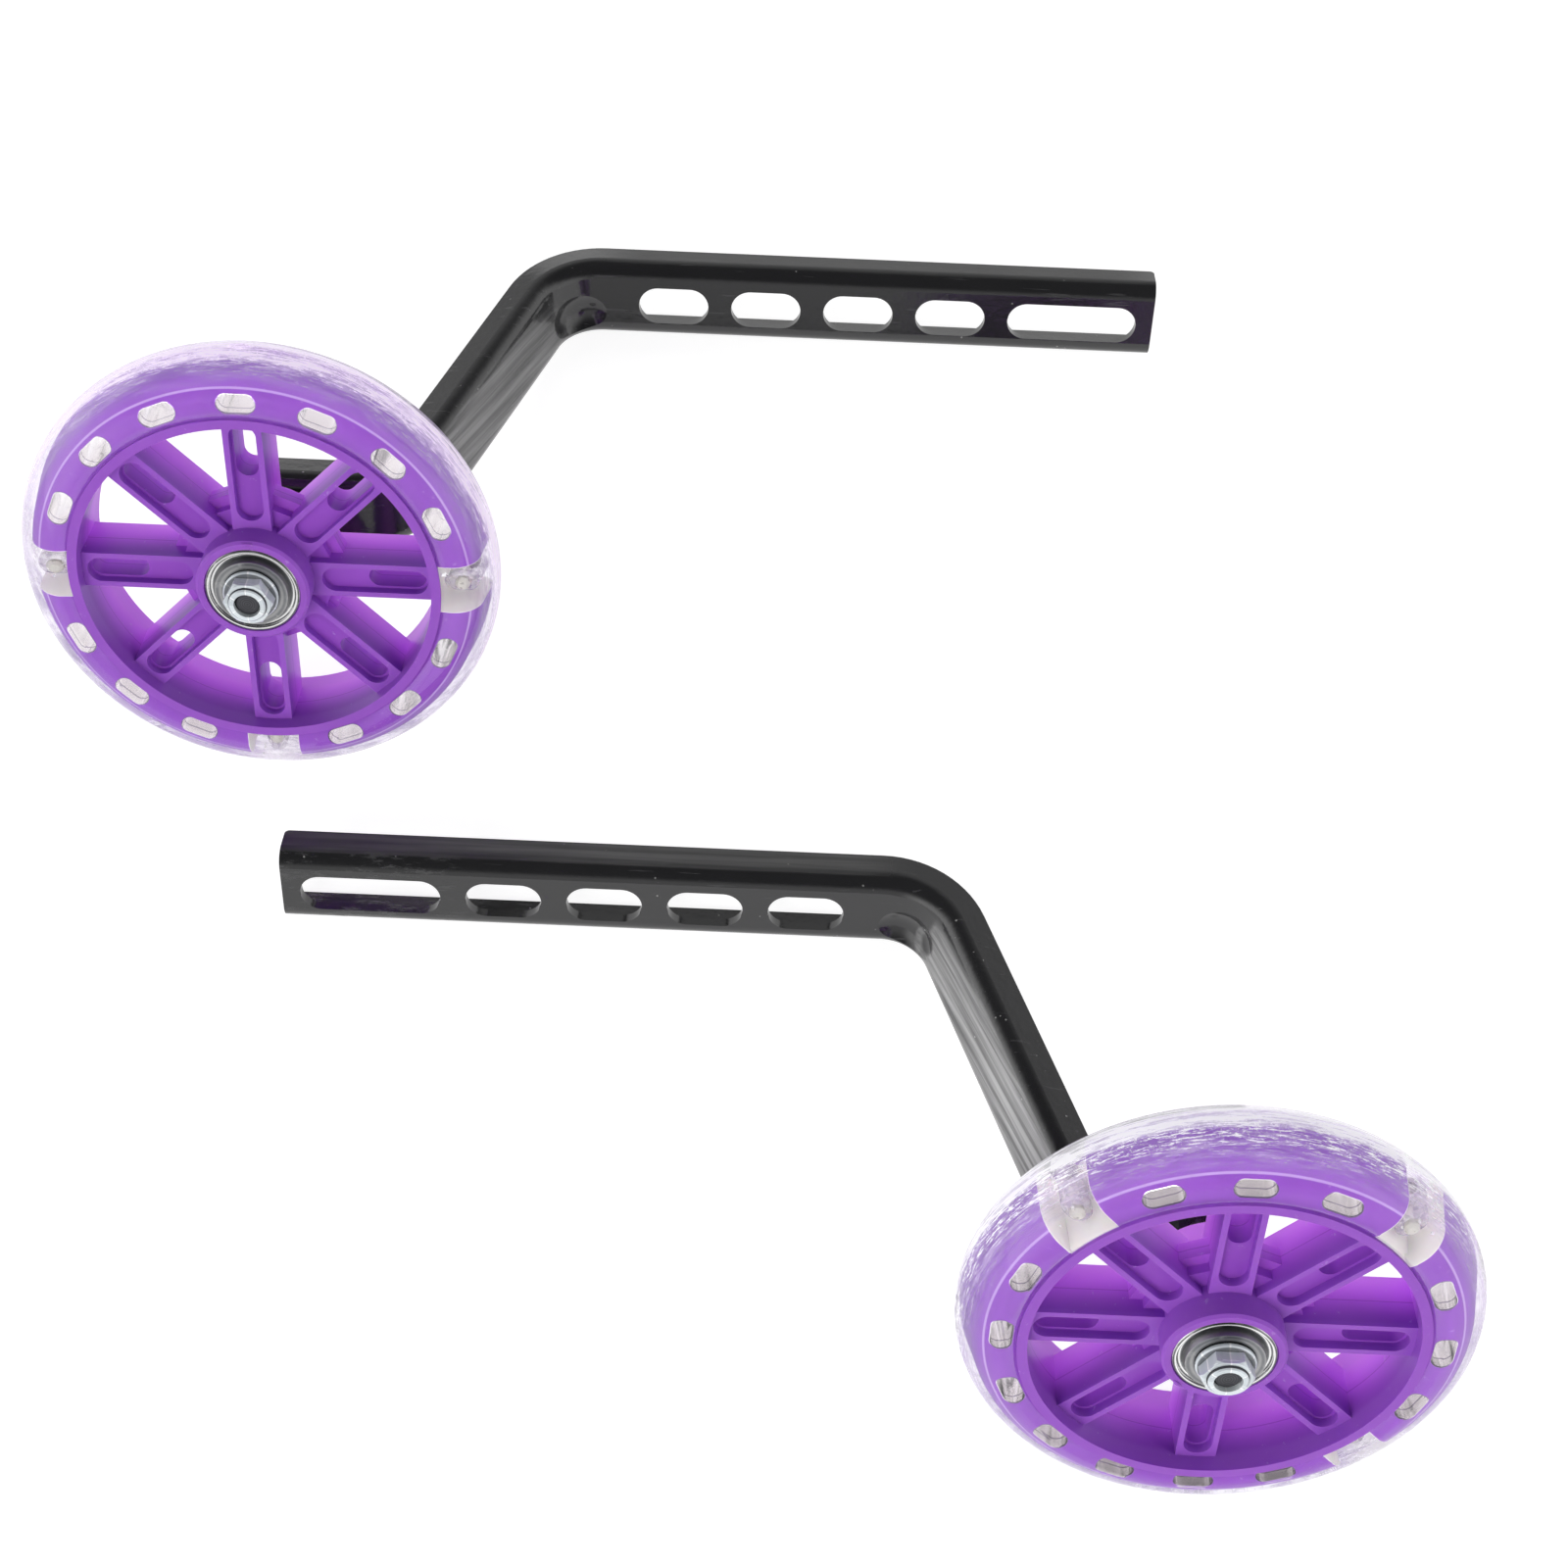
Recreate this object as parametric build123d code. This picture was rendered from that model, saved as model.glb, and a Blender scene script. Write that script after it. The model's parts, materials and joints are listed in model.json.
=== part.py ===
from build123d import *
from math import asin, atan2, cos, degrees, hypot, radians, sin, tan
import os

# Lengths are in millimetres. One unit is drawn with its wheel's middle at the origin, the axle along Z
# (outward) and the slotted bar along X. The pair is then laid on the ground as it comes to rest: on the
# tyre's edge and on the bar's lower flange.

# Wheel
tyre_diameter = 110.0
tyre_width = 23.0
tread_thickness = 4.0
band_width = 18.0
band_height = 8.5
band_corner = 5.5
rim_width = 21.0
rim_wall = 2.2
hub_diameter = 26.0
hub_width = 26.0
hub_edge = 0.6
spoke_count = 8
spoke_width = 8.8
spoke_depth = 13.5
spoke_rib = 1.3
spoke_floor = 9.2
pocket_end_gap = 1.8
pocket_rim_gap = 1.2
slot_hole_width = 5.0
slot_hole_length = 13.2
collar_flats = 39.0
collar_depth = 4.4
collar_step_flats = 34.0
collar_step_depth = 9.0
light_place_count = 16
oval_length = 8.6
oval_width = 4.2
oval_gap = 1.1
window_width = 12.0
window_angles = (0, 180, 270)
tyre_seat_width = 19.2
tyre_shoulder = 1.1

# Light capsules cast into the windows
capsule_gap = 0.75
capsule_width = 5.2
capsule_depth = 9.0
capsule_edge = 0.5
lamp_diameter = 3.2
lamp_height = 1.6

# Bearings, eight-millimetre bore
bearing_diameter = 22.0
bearing_bore = 8.0
bearing_width = 7.0
bearing_edge = 0.4
outer_race_bore = 18.2
inner_race_diameter = 12.1
shield_gap = 0.3
shield_thickness = 0.35
race_mouth_diameter = 20.0
race_mouth_depth = 0.7
race_rise = 1.4
shield_rise = 1.1
shield_plate_diameter = 16.6
shield_lip = 0.25
ball_count = 7
ball_diameter = 3.9
ball_clearance = 0.03
cage_thickness = 0.6
cage_clearance = 0.15
cage_width = 4.7

# Axle
axle_diameter = 6.0
axle_clearance = 0.2
sleeve_slip = 0.02
sleeve_diameter = 11.6
washer_diameter = 11.6
washer_thickness = 1.1
jam_nut_height = 5.0
hex_flats = 10.0
hex_corner = 1.16
hex_chamfer = 0.7
bolt_head_height = 4.0
nut_flange_diameter = 12.6
nut_flange_height = 1.0
nut_hex_height = 3.1
nut_collar_diameter = 8.6
nut_collar_height = 0.8
bolt_end_recess = 0.8

# Bracket, a channel with its web to the front and slots below the web's middle
sheet = 2.5
channel_height = 20.0
channel_corner = 4.0
top_flange = 9.5
lower_flange = 8.0
bar_offset = 77.5
bar_rise = 21.0
bend_angle = 69.0
bend_radius = 18.0
bar_bend_x = 58.7
bar_end_x = 212.6
bar_end_corner = 1.2
tab_end = 8.0
tab_end_corner = 3.0
bike_axle_diameter = 9.5
slot_clearance = 0.15
slot_length = 17.9
slot_pitch = 23.8
slot_count = 4
slot_drop = 1.0
first_slot_x = 80.0
long_slot_length = 33.1
dimple_radius = 9.0
dimple_depth = 1.3

# Places of the two units on the ground
right_place = (-129.0, 0.0)
left_place = (89.0, -162.0)
left_wheel_turn = -135.0

# Sizes that follow from the ones above
tyre_radius = tyre_diameter / 2
tread_radius = tyre_width / 2
tread_centre = tyre_radius - tread_radius
band_radius = tyre_radius - tread_thickness
rim_radius = band_radius - band_height
hub_half = hub_width / 2
oval_radius = rim_radius + oval_gap + oval_width / 2
capsule_radius = rim_radius + band_height / 2
capsule_length = band_height - 2 * capsule_gap
race_pitch_radius = (outer_race_bore + inner_race_diameter) / 4
groove_radius = ball_diameter / 2 + ball_clearance
race_face = hub_half + race_rise
tab_face = -race_face - washer_thickness - jam_nut_height
washer_middle = -race_face - washer_thickness / 2
bar_face = tab_face - bar_offset
bolt_hole = axle_diameter + 2 * axle_clearance
slot_line = bar_rise - slot_drop
slot_width = bike_axle_diameter + 2 * slot_clearance
nut_top = race_face + nut_flange_height + nut_hex_height + nut_collar_height
base_align = (Align.CENTER, Align.CENTER, Align.MIN)


def ring(outer, inner, depth, z=0.0):
    """A plain ring about Z, centred on height z."""
    return Pos(0, 0, z) * (Cylinder(outer / 2, depth) - Cylinder(inner / 2, depth))


def around(count, shape, skipped_angles=()):
    """Copies of a shape at equal turns about Z, leaving out some angles."""
    angles = [360 / count * i for i in range(count)]
    return [Rot(0, 0, angle) * shape for angle in angles if angle not in skipped_angles]


def at_windows(shape):
    """Copies of a shape turned about Z to the open windows."""
    return [Rot(0, 0, angle) * shape for angle in window_angles]


def both_faces(shape):
    """A shape and its mirror image in the wheel's middle plane."""
    return [shape, mirror(shape, about=Plane.XY)]


def revolved(points):
    """A solid of revolution about Z from a closed outline of (radius, height) points."""
    return revolve(Plane.XZ * make_face(Polyline(*points, close=True)), axis=Axis.Z)


def prism(flats, sides, depth):
    """A regular prism about Z, sized across its flats and centred on the origin."""
    outline = RegularPolygon(flats / 2, sides, major_radius=False)
    return Pos(0, 0, -depth / 2) * extrude(outline, depth)


def radial_slot(inner_x, outer_x, width, low, high):
    """A radial cut with round ends, between two heights."""
    outline = Pos((inner_x + outer_x) / 2, 0) * SlotOverall(outer_x - inner_x, width)
    return Pos(0, 0, low) * extrude(outline, high - low)


def make_band():
    """The ring that the tyre is cast over, with oval holes all round and three open windows."""
    inner = rim_radius - rim_wall / 2
    outline = Pos((inner + band_radius) / 2, 0) * Rectangle(band_radius - inner, band_width)
    outline = fillet(outline.vertices().sort_by(Axis.X)[-2:], band_corner)
    band = revolve(Plane.XZ * outline, axis=Axis.Z)
    oval = extrude(Rot(0, 0, 90) * SlotOverall(oval_length, oval_width), band_width, both=True)
    ovals = around(light_place_count, Pos(oval_radius, 0, 0) * oval, window_angles)
    gap = Pos(tyre_radius, 0, 0) * Box(2 * (tyre_radius - inner), window_width, 2 * band_width)
    return band - ovals - at_windows(gap)


def make_core(band):
    """The moulded core: hub, stepped octagonal collar, pocketed spokes, rim and band."""
    inner_rim = rim_radius - rim_wall
    spoke_length = inner_rim + rim_wall / 2
    spoke = Pos(spoke_length / 2, 0, 0) * Box(spoke_length, spoke_width, spoke_depth)
    hub = chamfer(Cylinder(hub_diameter / 2, hub_width).edges(), hub_edge)
    collar = prism(collar_flats, spoke_count, collar_depth)
    step = prism(collar_step_flats, spoke_count, collar_step_depth)
    body = collar + step + around(spoke_count, spoke)
    pocket_start = hub_diameter / 2 + pocket_end_gap
    pocket_width = spoke_width - 2 * spoke_rib
    pocket_end = inner_rim - pocket_rim_gap
    pocket = radial_slot(pocket_start, pocket_end, pocket_width, spoke_floor / 2, spoke_depth / 2)
    hole_end = pocket_end - (pocket_width - slot_hole_width) / 2
    hole = radial_slot(hole_end - slot_hole_length, hole_end, slot_hole_width, -spoke_floor, spoke_floor)
    for cut in both_faces(pocket) + [hole]:
        body -= around(spoke_count, cut)
    body = body + hub + ring(2 * rim_radius, 2 * inner_rim, rim_width) + band
    seat = Pos(0, 0, hub_half - bearing_width / 2) * Cylinder(bearing_diameter / 2, bearing_width)
    return body - both_faces(seat) - Cylinder(outer_race_bore / 2, hub_width)


def make_capsules():
    """The sealed light capsules, one in each window, long side along the radius."""
    block = extrude(SlotOverall(capsule_length, capsule_width), capsule_depth / 2, both=True)
    ends = block.faces().filter_by(Axis.Z)
    block = chamfer(ends.edges(), capsule_edge)
    return Compound(children=at_windows(Pos(capsule_radius, 0, 0) * block))


def make_lamps():
    """Two small lamps on each capsule, one on each side of the wheel."""
    lamp = Cylinder(lamp_diameter / 2, lamp_height, align=base_align)
    lamp = chamfer(lamp.edges().sort_by(Axis.Z)[-1], lamp_diameter / 5)
    lamp = Pos(capsule_radius, 0, capsule_depth / 2) * lamp
    return Compound(children=at_windows(lamp) + at_windows(both_faces(lamp)[1]))


def make_tyre(band, lights):
    """The clear tyre: round tread, sides drawn in to the rim, cast round the band and the lights."""
    shoulder = tread_centre + tyre_shoulder
    shoulder_half = (tread_radius ** 2 - tyre_shoulder ** 2) ** 0.5
    seat_half = tyre_seat_width / 2
    low, high = (shoulder, -shoulder_half), (shoulder, shoulder_half)
    sides = Polyline(low, (rim_radius, -seat_half), (rim_radius, seat_half), high)
    tread = ThreePointArc(high, (tyre_radius, 0), low)
    return revolve(Plane.XZ * make_face(sides + tread), axis=Axis.Z) - band - lights


def bearing_pair(shape):
    """Both bearings' copies of a shape drawn about the middle of one bearing."""
    placed = Pos(0, 0, hub_half - bearing_width / 2) * shape
    return Compound(children=both_faces(placed))


def make_outer_races():
    """Outer races with a ball groove and a stepped mouth on each side."""
    race = chamfer(Cylinder(bearing_diameter / 2, bearing_width).edges(), bearing_edge)
    race -= Cylinder(outer_race_bore / 2, bearing_width)
    mouth = Pos(0, 0, bearing_width / 2) * Cylinder(race_mouth_diameter / 2, 2 * race_mouth_depth)
    return bearing_pair(race - both_faces(mouth) - Torus(race_pitch_radius, groove_radius))


def make_inner_races():
    """Inner races with a ball groove, proud of the hub so that the nut clears the shield."""
    race = ring(inner_race_diameter, bearing_bore, bearing_width + race_rise, race_rise / 2)
    return bearing_pair(race - Torus(race_pitch_radius, groove_radius))


def make_shields():
    """Pressed shields in both mouths of each bearing, held by the outer race and raised to a flat plate."""
    inner = inner_race_diameter / 2 + shield_gap
    outer = outer_race_bore / 2
    plate = shield_plate_diameter / 2
    top = bearing_width / 2 + shield_rise
    low = bearing_width / 2 - race_mouth_depth
    upper_side = [(inner, top), (plate, top), (outer - shield_lip, low), (outer, low)]
    bottom = low - shield_thickness
    under_side = [(outer, bottom), (outer - shield_lip - shield_thickness, bottom)]
    under_side += [(plate - shield_thickness, top - shield_thickness), (inner, top - shield_thickness)]
    return bearing_pair(Compound(children=both_faces(revolved(upper_side + under_side))))


def make_balls():
    """A row of balls for each bearing."""
    ball = Pos(race_pitch_radius, 0, 0) * Sphere(ball_diameter / 2)
    return bearing_pair(Compound(children=around(ball_count, ball)))


def make_cages():
    """Ribbon cages that keep the balls apart."""
    pitch = 2 * race_pitch_radius
    ribbon = ring(pitch + cage_thickness, pitch - cage_thickness, cage_width)
    pocket = Rot(0, 90, 0) * Cylinder(ball_diameter / 2 + cage_clearance, bearing_width / 2)
    return bearing_pair(ribbon - around(ball_count, Pos(race_pitch_radius, 0, 0) * pocket))


def hexagon(flats, height, low):
    """A hexagonal prism standing on height low, its top corners turned off."""
    turned = Cylinder(flats / 2 * hex_corner, height)
    turned = chamfer(turned.edges().sort_by(Axis.Z)[-1], hex_chamfer)
    return Pos(0, 0, low + height / 2) * (prism(flats, 6, height) & turned)


def make_axle_bolt():
    """The screw: head behind the bracket, shank through bracket, sleeve and both nuts."""
    head_top = tab_face - sheet
    head = mirror(hexagon(hex_flats, bolt_head_height, -head_top), about=Plane.XY)
    length = nut_top - bolt_end_recess - head_top
    shank = Cylinder(axle_diameter / 2, length, align=base_align)
    shank = chamfer(shank.edges().sort_by(Axis.Z)[-1], axle_diameter / 10)
    return head + Pos(0, 0, head_top) * shank


def make_lock_nut():
    """The flanged nut with a rolled collar."""
    flange = Cylinder(nut_flange_diameter / 2, nut_flange_height, align=base_align)
    flange = chamfer(flange.edges().sort_by(Axis.Z)[-1], nut_flange_height / 2)
    collar = Cylinder(nut_collar_diameter / 2, nut_top - race_face, align=base_align)
    collar = chamfer(collar.edges().sort_by(Axis.Z)[-1], nut_collar_height / 2)
    nut = flange + hexagon(hex_flats, nut_hex_height, nut_flange_height) + collar
    return Pos(0, 0, race_face) * nut - Cylinder(axle_diameter / 2, 2 * nut_top)


def make_jam_nut():
    """The plain nut that clamps the screw to the bracket's tab."""
    nut = hexagon(hex_flats, jam_nut_height, tab_face)
    return nut - Cylinder(axle_diameter / 2, -3 * tab_face)


def make_sleeve():
    """The stepped tube that keeps the inner races apart and carries them."""
    tube = Cylinder(bearing_bore / 2 - sleeve_slip, 2 * (race_face - axle_clearance))
    tube += Cylinder(sleeve_diameter / 2, hub_width - 2 * bearing_width)
    return tube - Cylinder(bolt_hole / 2, 2 * race_face)


def channel_section():
    """The channel's cross-section, web to the front, with its middle depth at the sketch's origin."""
    front = top_flange / 2
    outer = Rectangle(top_flange, channel_height)
    outer = fillet(outer.vertices().sort_by(Axis.X)[-2:], channel_corner)
    inner = Pos(-sheet, 0) * Rectangle(top_flange, channel_height - 2 * sheet)
    inner = fillet(inner.vertices().sort_by(Axis.X)[-2:], channel_corner - sheet)
    trim_depth = top_flange - lower_flange
    trim = Pos(-front + trim_depth / 2, -channel_height / 2) * Rectangle(trim_depth, 2 * channel_corner)
    return outer - inner - trim


def make_bracket():
    """The channel swept along bar, arm and tab in a leaning plane, then slotted, holed and dimpled."""
    lean = degrees(atan2(bar_rise, bar_offset))
    reach = hypot(bar_rise, bar_offset)
    tab_bend_x = bar_bend_x - reach / tan(radians(bend_angle))
    corners = [(bar_end_x, 0), (bar_bend_x, 0), (tab_bend_x, reach), (-tab_end, reach)]
    path = Plane.XZ * FilletPolyline(*corners, radius=bend_radius)
    start = Plane(origin=(bar_end_x, 0, 0), x_dir=(0, 0, 1), z_dir=(-1, 0, 0))
    channel = sweep(start * Rot(0, 0, lean) * channel_section(), path)
    channel = in_bracket_plane(lean) * channel
    for end, corner in ((0, tab_end_corner), (-1, bar_end_corner)):
        tips = channel.edges().filter_by(Axis.Y).filter_by(lambda edge: edge.length < 2 * sheet)
        channel = fillet(tips.group_by(Axis.X)[end], corner)
    cut_depth = 2 * sheet
    slot = extrude(SlotOverall(slot_length, slot_width), cut_depth, both=True)
    long_slot = extrude(SlotOverall(long_slot_length, slot_width), cut_depth, both=True)
    for i in range(slot_count):
        channel -= Pos(first_slot_x + slot_length / 2 + i * slot_pitch, slot_line, bar_face) * slot
    long_slot_x = first_slot_x + slot_count * slot_pitch + long_slot_length / 2
    channel -= Pos(long_slot_x, slot_line, bar_face) * long_slot
    channel -= Pos(0, 0, tab_face) * Cylinder(bolt_hole / 2, 2 * cut_depth)
    return channel - in_bracket_plane(lean) * make_dimple()


def in_bracket_plane(lean):
    """The place of the leaning plane that the bar, the arm and the tab lie in."""
    return Pos(0, bar_rise, bar_face - top_flange / 2) * Rot(lean, 0, 0)


def make_dimple():
    """The ball that presses the dimple into the web inside the first bend."""
    half_turn = radians(bend_angle) / 2
    web_radius = bend_radius - top_flange / 2
    back = web_radius - dimple_radius + dimple_depth
    x = bar_bend_x + bend_radius * tan(half_turn) - back * sin(half_turn)
    reach = bend_radius - back * cos(half_turn)
    return Pos(x, 0, reach) * Sphere(dimple_radius)


def make_unit():
    """All pieces of the right-hand unit; pieces in the second group turn with the wheel."""
    band = make_band()
    capsules = make_capsules()
    lamps = make_lamps()
    fixed = {
        "bracket": make_bracket(),
        "axle_bolt": make_axle_bolt(),
        "jam_nut": make_jam_nut(),
        "spacing_washer": ring(washer_diameter, bolt_hole, washer_thickness, washer_middle),
        "axle_sleeve": make_sleeve(),
        "inner_races": make_inner_races(),
        "lock_nut": make_lock_nut(),
    }
    turning = {
        "wheel_core": make_core(band),
        "tyre": make_tyre(band, list(capsules.solids()) + list(lamps.solids())),
        "outer_races": make_outer_races(),
        "bearing_shields": make_shields(),
        "bearing_balls": make_balls(),
        "ball_cages": make_cages(),
        "light_capsules": capsules,
        "light_lamps": lamps,
    }
    return fixed, turning


def laid_down(shape, place):
    """A unit's piece tipped to its resting lean and set down at a place on the ground."""
    edge_y = bar_rise - channel_height / 2
    edge_z = bar_face - lower_flange
    span = hypot(edge_y + tread_centre, edge_z)
    lean = degrees(atan2(edge_y + tread_centre, -edge_z) + asin(tread_radius / span))
    lift = -edge_y * cos(radians(lean)) - edge_z * sin(radians(lean))
    return Pos(place[0], place[1], lift) * Rot(90 - lean, 0, 0) * shape


fixed_pieces, turning_pieces = make_unit()
pieces = {}
for name, shape in fixed_pieces.items():
    pieces["right_" + name] = laid_down(shape, right_place)
    pieces["left_" + name] = laid_down(mirror(shape, about=Plane.YZ), left_place)
for name, shape in turning_pieces.items():
    pieces["right_" + name] = laid_down(shape, right_place)
    turned = mirror(Rot(0, 0, left_wheel_turn) * shape, about=Plane.YZ)
    pieces["left_" + name] = laid_down(turned, left_place)

extent = Compound([solid for shape in pieces.values() for solid in shape.solids()]).bounding_box()
to_origin = Pos(-extent.center().X, -extent.center().Y, -extent.min.Z)
os.makedirs("parts", exist_ok=True)
for name, shape in pieces.items():
    export_step(to_origin * shape, "parts/" + name + ".step")
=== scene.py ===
# %% [markdown]
# # A pair of bicycle training wheels
# Two black steel brackets lie on a white table, each with a small wheel on its axle. The solids come
# from the frame as they are, and this lesson gives them their finishes: gloss paint, violet plastic,
# clear cast rubber and bright steel. What the solids leave out, such as bubbles and moulding marks, is
# added as small pieces that ride on the same bodies.

# %% Frame
import json
from math import atan2, cos, pi, radians, sin

import bmesh
import bpy
from mathutils import Matrix, Vector


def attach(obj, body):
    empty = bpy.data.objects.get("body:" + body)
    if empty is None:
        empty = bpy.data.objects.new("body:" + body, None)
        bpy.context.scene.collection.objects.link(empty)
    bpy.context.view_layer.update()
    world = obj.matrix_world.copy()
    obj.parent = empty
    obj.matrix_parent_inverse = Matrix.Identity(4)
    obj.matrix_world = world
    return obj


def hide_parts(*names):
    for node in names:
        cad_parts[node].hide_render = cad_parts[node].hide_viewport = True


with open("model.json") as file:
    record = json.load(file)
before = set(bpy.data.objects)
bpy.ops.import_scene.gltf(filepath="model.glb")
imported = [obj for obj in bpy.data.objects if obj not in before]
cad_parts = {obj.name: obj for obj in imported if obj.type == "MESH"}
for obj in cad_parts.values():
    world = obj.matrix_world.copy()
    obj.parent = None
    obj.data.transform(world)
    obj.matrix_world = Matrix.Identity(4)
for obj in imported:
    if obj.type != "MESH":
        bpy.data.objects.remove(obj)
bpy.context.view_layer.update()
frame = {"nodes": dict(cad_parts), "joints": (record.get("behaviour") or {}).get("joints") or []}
mm = 0.001

# %% [markdown]
# Each wheel turns on its own axle. The joint in the frame says where the axle is and which way it
# leans, and that gives one matrix for each wheel, from the wheel's own coordinates (axle along Z) to
# the table. Everything that is round is written in wheel coordinates, because there it is simple. Each
# wheel was filled through a gate in its moulds, and the angle of the gate is the start for what is
# placed round it.

# %% The two wheels' own coordinates
joint_named = {joint["name"]: joint for joint in frame["joints"]}
axle = {side: joint_named[side + "_wheel_spin"] for side in ("right", "left")}
wheel_centre = {side: Vector(joint["pos_m"]) for side, joint in axle.items()}
wheel_tilt = {side: atan2(-joint["axis"][1], joint["axis"][2]) for side, joint in axle.items()}
wheel_matrix = {
    side: Matrix.Translation(wheel_centre[side]) @ Matrix.Rotation(tilt, 4, "X")
    for side, tilt in wheel_tilt.items()
}
gate_degrees = {"right": 90, "left": 225}
gate_angle = {side: radians(angle) for side, angle in gate_degrees.items()}
for side, centre in wheel_centre.items():
    print(side, "wheel at", tuple(round(v, 4) for v in centre), "tilt", round(wheel_tilt[side], 4))

# %% [markdown]
# Node trees are long when every link is written out. This small class holds one socket. Python's own
# signs then add Math nodes, so that a mask reads like a formula, and one method adds any other node. It
# works in shader trees and in Geometry Nodes trees alike.

# %% A socket that can be calculated with
class Wire:
    """One socket of a node tree: arithmetic on it adds Math nodes, node() adds any other node."""

    def __init__(self, tree, socket=None):
        self.tree, self.socket = tree, socket

    def node(self, kind, settings=None, values=None, output=0):
        """Adds a node, fills its inputs with plain values or wires, and returns one of its outputs."""
        made = self.tree.nodes.new(kind)
        for name, value in (settings or {}).items():
            setattr(made, name, value)
        for name, value in (values or {}).items():
            if isinstance(value, Wire):
                self.tree.links.new(value.socket, made.inputs[name])
            else:
                made.inputs[name].default_value = value
        return Wire(self.tree, made.outputs[output])

    def math(self, operation, *others):
        return self.node("ShaderNodeMath", {"operation": operation}, dict(enumerate((self, *others))))

    def __add__(self, other):
        return self.math("ADD", other)

    def __sub__(self, other):
        return self.math("SUBTRACT", other)

    def __rsub__(self, other):
        return self.node("ShaderNodeMath", {"operation": "SUBTRACT"}, {0: other, 1: self})

    def __mul__(self, other):
        return self.math("MULTIPLY", other)

    def __pow__(self, other):
        return self.math("POWER", other)

    def __abs__(self):
        return self.math("ABSOLUTE")

    __radd__ = __add__
    __rmul__ = __mul__

    def rise(self, low, high):
        """0 below low, 1 above high, and a smooth step between them."""
        limits = {"Value": self, "From Min": low, "From Max": high}
        return self.node("ShaderNodeMapRange", {"interpolation_type": "SMOOTHSTEP"}, limits)

    def fall(self, low, high):
        """1 below low, 0 above high, and a smooth step between them."""
        return 1.0 - self.rise(low, high)

    def between(self, colour, other):
        """A colour that goes from the first to the other as this value goes from 0 to 1."""
        return self.node("ShaderNodeMix", {"data_type": "RGBA"}, {0: self, 6: colour, 7: other}, 2)


def colour(red, green, blue):
    return (red, green, blue, 1.0)


print("helper ready:", Wire.__name__)

# %% [markdown]
# The photograph looks down steeply, with a slight turn of the camera about its own line of sight, so
# the bars slope a little to the right. The numbers come from fitting the slots, rims and bearings to
# the photograph, and the lens is the focal length of that fit on a 36 mm sensor.

# %% Camera
view_height, view_roll, view_distance = radians(70.17), radians(2.44), 0.6032
view_target = Vector((13.67, 12.76, 0.0)) * mm
sensor_width, focal_pixels, photo_pixels = 36.0, 2506.4, 1600
forward = Vector((0.0, cos(view_height), -sin(view_height)))
right = Vector((1.0, 0.0, 0.0))
up = right.cross(forward)
across = right * cos(view_roll) + up * sin(view_roll)
upward = up * cos(view_roll) - right * sin(view_roll)
eye = view_target - forward * view_distance

lens = bpy.data.cameras.new("camera")
lens.sensor_width = sensor_width
lens.lens = sensor_width * focal_pixels / photo_pixels
lens.clip_start = 0.01
camera = bpy.data.objects.new("camera", lens)
bpy.context.collection.objects.link(camera)
camera.matrix_world = Matrix.Translation(eye) @ Matrix((across, upward, -forward)).transposed().to_4x4()
bpy.context.scene.camera = camera
bpy.context.scene.view_settings.view_transform = "Standard"
print("camera at", tuple(round(v, 3) for v in eye), "lens", round(lens.lens, 1))

# %% [markdown]
# The pair lies on a plain white table. A floor that is bright enough to look white would also light the
# pieces from below, so the floor is told by the Light Path node who looks at it: to the camera, to
# mirrors and through glass it is white and still takes a soft shadow, and to all other rays it is a
# plain grey surface.

# %% Floor
def studio_floor():
    finish = bpy.data.materials.new("studio_floor")
    finish.use_nodes = True
    tree = finish.node_tree
    tree.nodes.clear()
    start = Wire(tree)
    rays = "ShaderNodeLightPath"
    seen = start.node(rays, output="Is Camera Ray") + start.node(rays, output="Is Glossy Ray")
    seen = seen + start.node(rays, output="Is Transmission Ray")
    place = start.node("ShaderNodeTexCoord", output="Object")
    mottle = start.node("ShaderNodeTexNoise", None, {"Vector": place, "Scale": 4.0, "Detail": 3.0})
    tone = mottle.between(colour(0.36, 0.36, 0.36), colour(0.4, 0.4, 0.4))
    matt = start.node("ShaderNodeBsdfDiffuse", None, {"Color": tone})
    glow = start.node("ShaderNodeEmission", None, {"Color": colour(1, 1, 1), "Strength": 0.83})
    shown = start.node("ShaderNodeAddShader", None, {0: matt, 1: glow})
    plain = start.node("ShaderNodeBsdfDiffuse", None, {"Color": colour(0.7, 0.7, 0.7)})
    both = start.node("ShaderNodeMixShader", None, {0: seen.rise(0.2, 0.8), 1: plain, 2: shown})
    out = tree.nodes.new("ShaderNodeOutputMaterial")
    tree.links.new(both.socket, out.inputs["Surface"])
    return finish


floor_half = 6.0
floor_mesh = bpy.data.meshes.new("floor")
corners = [(x * floor_half, y * floor_half, 0) for x, y in ((-1, -1), (1, -1), (1, 1), (-1, 1))]
floor_mesh.from_pydata(corners, [], [(0, 1, 2, 3)])
floor = bpy.data.objects.new("floor", floor_mesh)
bpy.context.collection.objects.link(floor)
floor_mesh.materials.append(studio_floor())
print("floor", floor_half * 2, "m wide")

# %% [markdown]
# The brackets show how the studio was lit: the flat sides mirror a bright horizon, brightest to the
# left and right where the arms look, and the rounded corner between them mirrors a dark ceiling as a
# black stripe. So the world is bright all round at table height and dark overhead. To the camera and
# through glass it is white, like the floor.

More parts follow.
